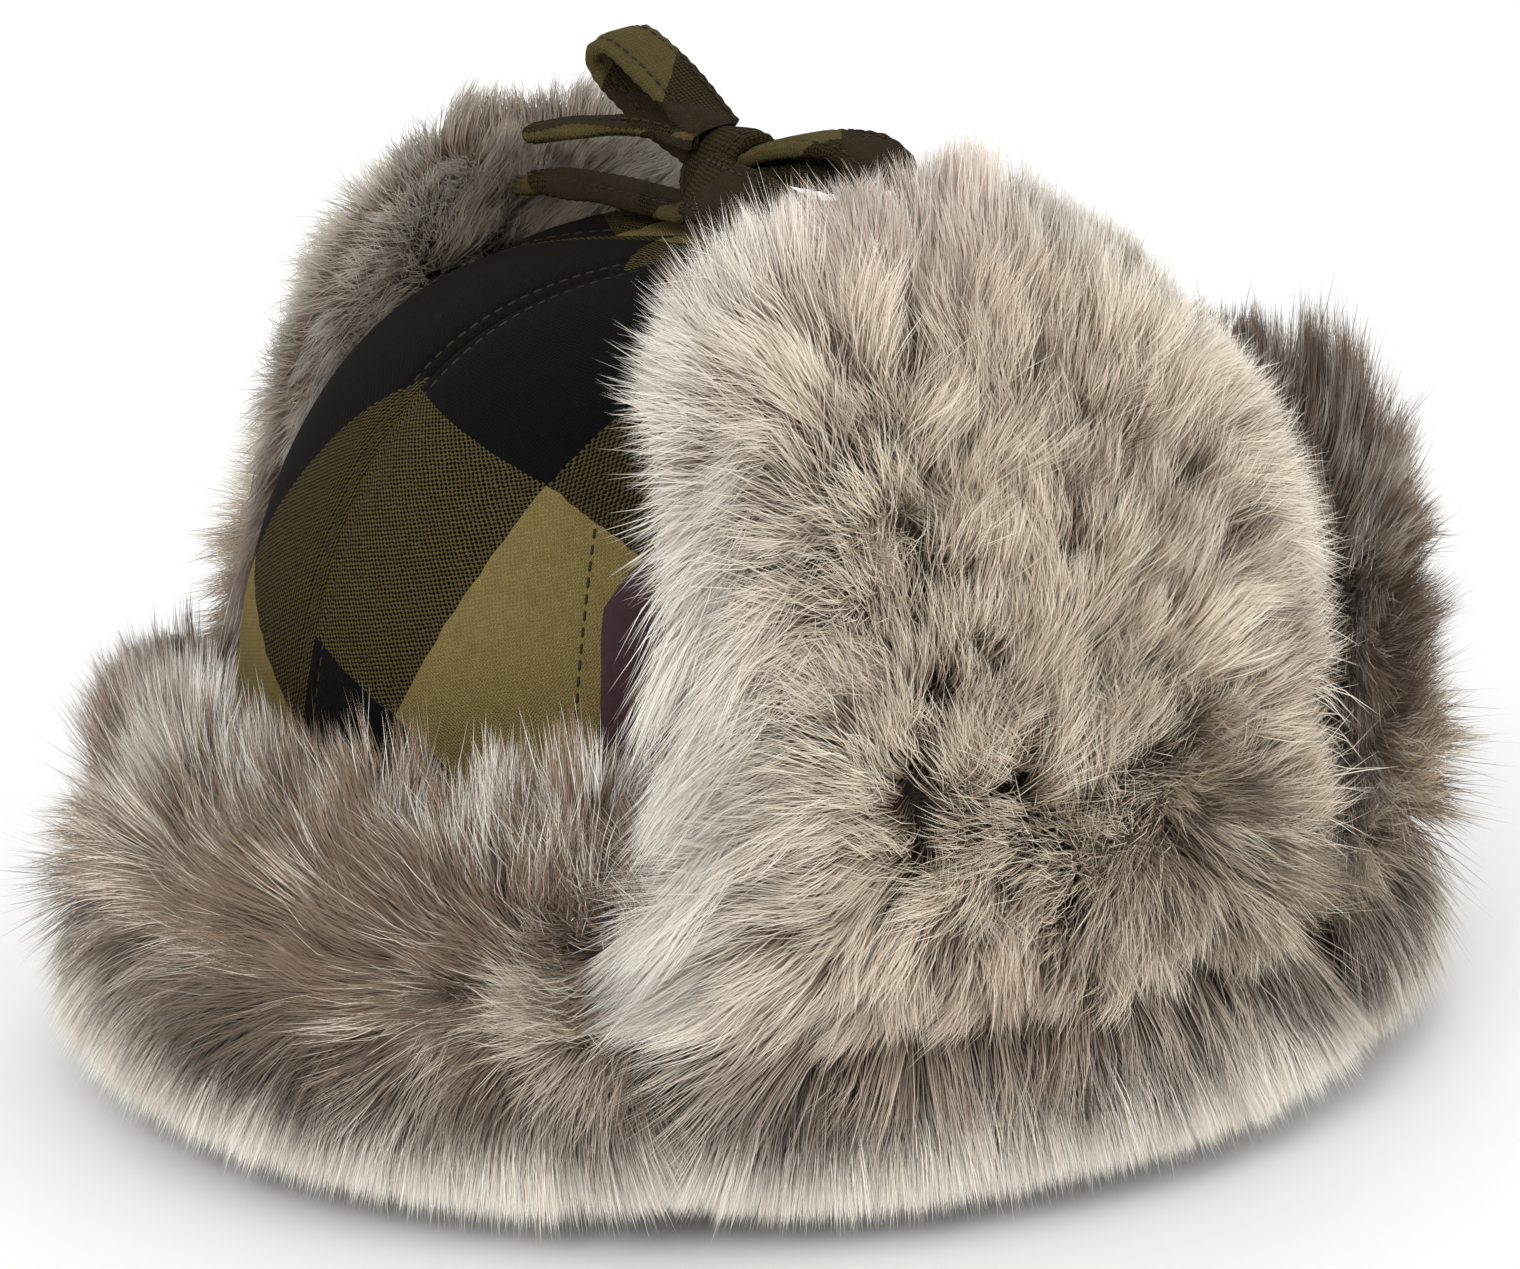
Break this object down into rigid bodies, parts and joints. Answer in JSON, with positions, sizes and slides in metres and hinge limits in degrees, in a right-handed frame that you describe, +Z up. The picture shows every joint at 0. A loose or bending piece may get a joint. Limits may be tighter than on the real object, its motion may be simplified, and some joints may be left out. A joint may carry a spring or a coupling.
{
  "type": "trapper hat",
  "caption": "Trapper hat with a checked cloth crown, fur-faced visor, ear flaps and neck flap folded up, and ear-flap ties in a bow on top.",
  "frame": {"origin": "middle of the hat's footprint, on the surface that the rim stands on", "axes": "+Z up; the brow faces -Y and the nape +Y; the wearer's left ear is at +X"},
  "size_m": [0.2663, 0.2969, 0.2013],
  "materials": {
    "check_cloth": "brushed woven check in olive and black",
    "flap_cloth": "dark plum brushed cloth",
    "tie_cloth": "brushed woven strap",
    "fur": "long mottled pile, cream tips over taupe",
    "wadding": "matt fibre",
    "stiffener": "matt buckram",
    "lining": "quilted satin",
    "sweatband": "ribbed band",
    "binding": "twill tape"
  },
  "bodies": {
    "root": {"crown_panel_front_left": "check_cloth", "crown_panel_left": "check_cloth", "crown_panel_back_left": "check_cloth", "crown_panel_back_right": "check_cloth", "crown_panel_right": "check_cloth", "crown_panel_front_right": "check_cloth", "crown_wadding": "wadding", "quilted_lining": "lining", "sweatband": "sweatband", "rim_binding": "binding"},
    "visor": {"visor_shell": "flap_cloth", "visor_stiffener": "stiffener", "visor_fur": "fur"},
    "neck_flap": {"neck_flap_shell": "flap_cloth", "neck_flap_wadding": "wadding", "neck_flap_fur": "fur"},
    "ear_flap_left": {"ear_flap_shell_left": "flap_cloth", "ear_flap_wadding_left": "wadding", "ear_flap_fur_left": "fur"},
    "ear_flap_right": {"ear_flap_shell_right": "flap_cloth", "ear_flap_wadding_right": "wadding", "ear_flap_fur_right": "fur"},
    "tie_left": {"tie_left": "tie_cloth"},
    "bow": {"tie_right": "tie_cloth", "bow_knot": "tie_cloth", "bow_loop_left": "tie_cloth", "bow_loop_right": "tie_cloth", "bow_tail_left": "tie_cloth", "bow_tail_right": "tie_cloth"}
  },
  "joints": [
    {"name": "visor_fold", "type": "hinge", "parent": "root", "child": "visor", "pos_m": [0, -0.1135, 0.0015], "axis": [1, 0, 0], "range_deg": [0, 100]},
    {"name": "neck_flap_fold", "type": "hinge", "parent": "root", "child": "neck_flap", "pos_m": [0, 0.1135, 0.0015], "axis": [-1, 0, 0], "range_deg": [0, 150]},
    {"name": "ear_flap_left_fold", "type": "hinge", "parent": "root", "child": "ear_flap_left", "pos_m": [0.0975, -0.012, 0.0015], "axis": [0, 1, 0], "range_deg": [0, 150]},
    {"name": "ear_flap_right_fold", "type": "hinge", "parent": "root", "child": "ear_flap_right", "pos_m": [-0.0975, -0.012, 0.0015], "axis": [0, -1, 0], "range_deg": [0, 150]},
    {"name": "tie_left_swing", "type": "hinge", "parent": "ear_flap_left", "child": "tie_left", "pos_m": [0.063, -0.013, 0.1645], "axis": [0, 1, 0], "range_deg": [0, 79]},
    {"name": "tie_right_swing", "type": "hinge", "parent": "ear_flap_right", "child": "bow", "pos_m": [-0.062, -0.013, 0.1635], "axis": [0, -1, 0], "range_deg": [0, 79]}
  ],
  "couplings": [
    {"joint": "tie_left_swing", "follows": "ear_flap_left_fold", "ratio": 0.52},
    {"joint": "tie_right_swing", "follows": "ear_flap_right_fold", "ratio": 0.52}
  ]
}
